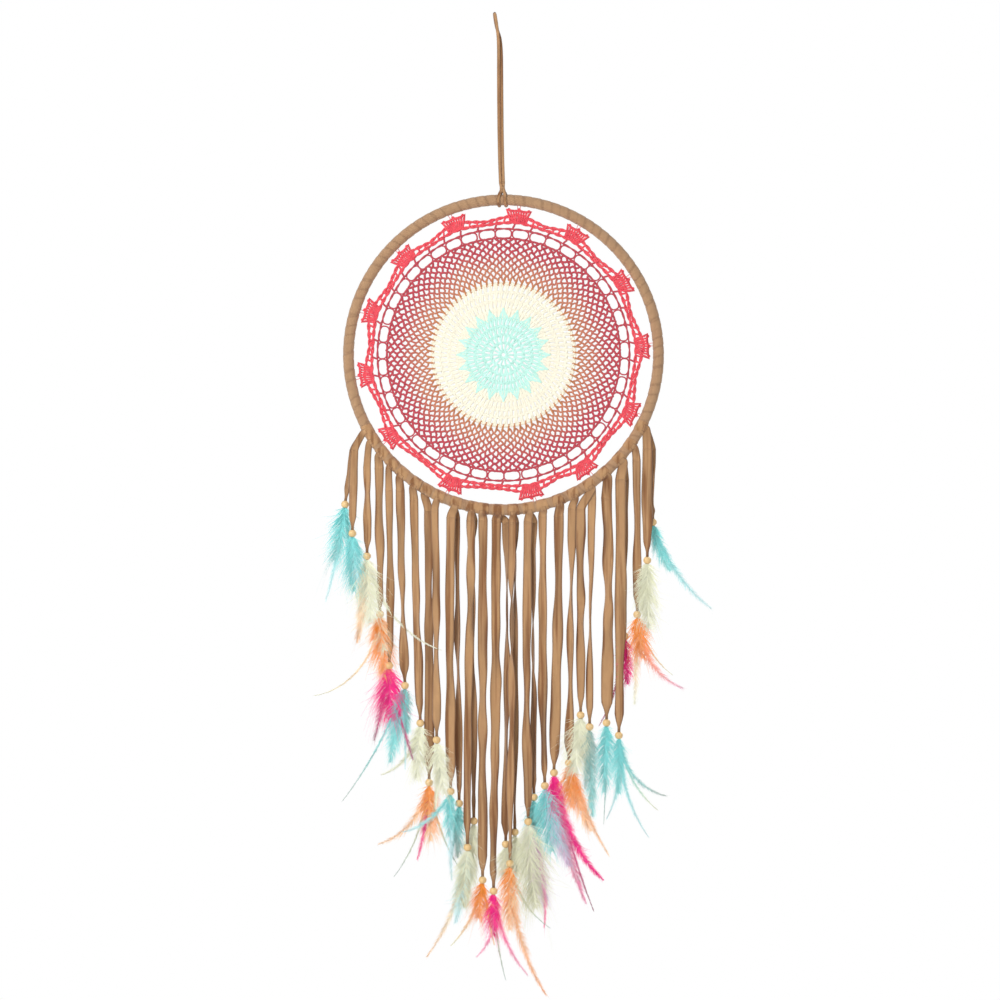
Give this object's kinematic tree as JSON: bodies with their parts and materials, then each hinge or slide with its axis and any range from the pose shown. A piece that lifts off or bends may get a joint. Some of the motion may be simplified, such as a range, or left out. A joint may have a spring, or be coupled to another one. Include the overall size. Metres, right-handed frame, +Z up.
{
  "type": "dream catcher",
  "caption": "Suede-wrapped hoop with a crocheted doily inside, hung on a lace loop, with a fringe of suede strips ending in wooden beads and dyed feathers.",
  "frame": {"origin": "inside of the hanging loop's bight, where the nail or hook holds it", "axes": "+Z up along the hanging loop, +X to the right seen from the front, +Y from the front to the back; the hoop lies in the XZ plane"},
  "size_m": [0.3687, 0.0151, 0.9633],
  "materials": {
    "suede_lace": "matt suede nap",
    "suede_wrap": "matt suede nap",
    "rattan": "plain",
    "mint_yarn": "matt cotton yarn",
    "cream_yarn": "matt cotton yarn",
    "orange_yarn": "matt cotton yarn",
    "coral_yarn": "matt cotton yarn",
    "bead_wood": "satin",
    "feather_turquoise": "soft feather barbs",
    "feather_cream": "soft feather barbs",
    "feather_orange": "soft feather barbs",
    "feather_magenta": "soft feather barbs"
  },
  "bodies": {
    "loop": {"hanging_loop": "suede_lace"},
    "top_knot": {"top_knot": "suede_lace"},
    "ring": {"ring_core": "rattan", "ring_wrap": "suede_wrap", "doily_center": "mint_yarn", "doily_band": "cream_yarn", "doily_mesh_orange": "orange_yarn", "doily_mesh_coral": "coral_yarn", "doily_border": "coral_yarn", "doily_ties": "coral_yarn", "lace_knots": "suede_lace"},
    "tails_01": {"lace_01": "suede_lace", "beads_01": "bead_wood", "feathers_01": "feather_turquoise"},
    "tails_02": {"lace_02": "suede_lace", "beads_02": "bead_wood", "feathers_02": "feather_cream"},
    "tails_03": {"lace_03": "suede_lace", "beads_03": "bead_wood", "feathers_03": "feather_magenta"},
    "tails_04": {"lace_04": "suede_lace", "beads_04": "bead_wood", "feathers_04": "feather_cream"},
    "tails_05": {"lace_05": "suede_lace", "beads_05": "bead_wood", "feathers_05": "feather_orange"},
    "tails_06": {"lace_06": "suede_lace", "beads_06": "bead_wood", "feathers_06": "feather_turquoise"},
    "tails_07": {"lace_07": "suede_lace", "beads_07": "bead_wood", "feathers_07": "feather_cream"},
    "tails_08": {"lace_08": "suede_lace", "beads_08": "bead_wood", "feathers_08": "feather_orange"},
    "tails_09": {"lace_09": "suede_lace", "beads_09": "bead_wood", "feathers_09": "feather_orange"},
    "tails_10": {"lace_10": "suede_lace", "beads_10": "bead_wood", "feathers_10": "feather_cream"},
    "tails_11": {"lace_11": "suede_lace", "beads_11": "bead_wood", "feathers_11": "feather_turquoise"},
    "tails_12": {"lace_12": "suede_lace", "beads_12": "bead_wood", "feathers_12": "feather_orange"},
    "tails_13": {"lace_13": "suede_lace", "beads_13": "bead_wood", "feathers_13": "feather_turquoise"},
    "tails_14": {"lace_14": "suede_lace", "beads_14": "bead_wood", "feathers_14": "feather_turquoise"},
    "tails_15": {"lace_15": "suede_lace", "beads_15": "bead_wood", "feathers_15": "feather_orange"},
    "tails_16": {"lace_16": "suede_lace", "beads_16": "bead_wood", "feathers_16": "feather_cream"}
  },
  "joints": [
    {"name": "loop_twist", "type": "hinge", "parent": "loop", "child": "top_knot", "pos_m": [0, 0, -0.1685], "axis": [0, 0, 1], "range_deg": [-180, 180]},
    {"name": "ring_swing", "type": "hinge", "parent": "top_knot", "child": "ring", "pos_m": [0, 0, -0.185], "axis": [1, 0, 0], "range_deg": [-75, 75]},
    {"name": "tails_01_swing", "type": "hinge", "parent": "ring", "child": "tails_01", "pos_m": [-0.151, 0, -0.43501], "axis": [1, 0, 0], "range_deg": [-85, 85]},
    {"name": "tails_02_swing", "type": "hinge", "parent": "ring", "child": "tails_02", "pos_m": [-0.131, 0, -0.4522], "axis": [1, 0, 0], "range_deg": [-85, 85]},
    {"name": "tails_03_swing", "type": "hinge", "parent": "ring", "child": "tails_03", "pos_m": [-0.109, 0, -0.47467], "axis": [1, 0, 0], "range_deg": [-85, 85]},
    {"name": "tails_04_swing", "type": "hinge", "parent": "ring", "child": "tails_04", "pos_m": [-0.089, 0, -0.48413], "axis": [1, 0, 0], "range_deg": [-85, 85]},
    {"name": "tails_05_swing", "type": "hinge", "parent": "ring", "child": "tails_05", "pos_m": [-0.071, 0, -0.49484], "axis": [1, 0, 0], "range_deg": [-85, 85]},
    {"name": "tails_06_swing", "type": "hinge", "parent": "ring", "child": "tails_06", "pos_m": [-0.051, 0, -0.50222], "axis": [1, 0, 0], "range_deg": [-85, 85]},
    {"name": "tails_07_swing", "type": "hinge", "parent": "ring", "child": "tails_07", "pos_m": [-0.032, 0, -0.50533], "axis": [1, 0, 0], "range_deg": [-85, 85]},
    {"name": "tails_08_swing", "type": "hinge", "parent": "ring", "child": "tails_08", "pos_m": [-0.014, 0, -0.50465], "axis": [1, 0, 0], "range_deg": [-85, 85]},
    {"name": "tails_09_swing", "type": "hinge", "parent": "ring", "child": "tails_09", "pos_m": [0.008, 0, -0.50735], "axis": [1, 0, 0], "range_deg": [-85, 85]},
    {"name": "tails_10_swing", "type": "hinge", "parent": "ring", "child": "tails_10", "pos_m": [0.027, 0, -0.50656], "axis": [1, 0, 0], "range_deg": [-85, 85]},
    {"name": "tails_11_swing", "type": "hinge", "parent": "ring", "child": "tails_11", "pos_m": [0.047, 0, -0.50083], "axis": [1, 0, 0], "range_deg": [-85, 85]},
    {"name": "tails_12_swing", "type": "hinge", "parent": "ring", "child": "tails_12", "pos_m": [0.073, 0, -0.49316], "axis": [1, 0, 0], "range_deg": [-85, 85]},
    {"name": "tails_13_swing", "type": "hinge", "parent": "ring", "child": "tails_13", "pos_m": [0.095, 0, -0.48242], "axis": [1, 0, 0], "range_deg": [-85, 85]},
    {"name": "tails_14_swing", "type": "hinge", "parent": "ring", "child": "tails_14", "pos_m": [0.119, 0, -0.46441], "axis": [1, 0, 0], "range_deg": [-85, 85]},
    {"name": "tails_15_swing", "type": "hinge", "parent": "ring", "child": "tails_15", "pos_m": [0.133, 0, -0.44468], "axis": [1, 0, 0], "range_deg": [-85, 85]},
    {"name": "tails_16_swing", "type": "hinge", "parent": "ring", "child": "tails_16", "pos_m": [0.147, 0, -0.43388], "axis": [1, 0, 0], "range_deg": [-85, 85]}
  ]
}
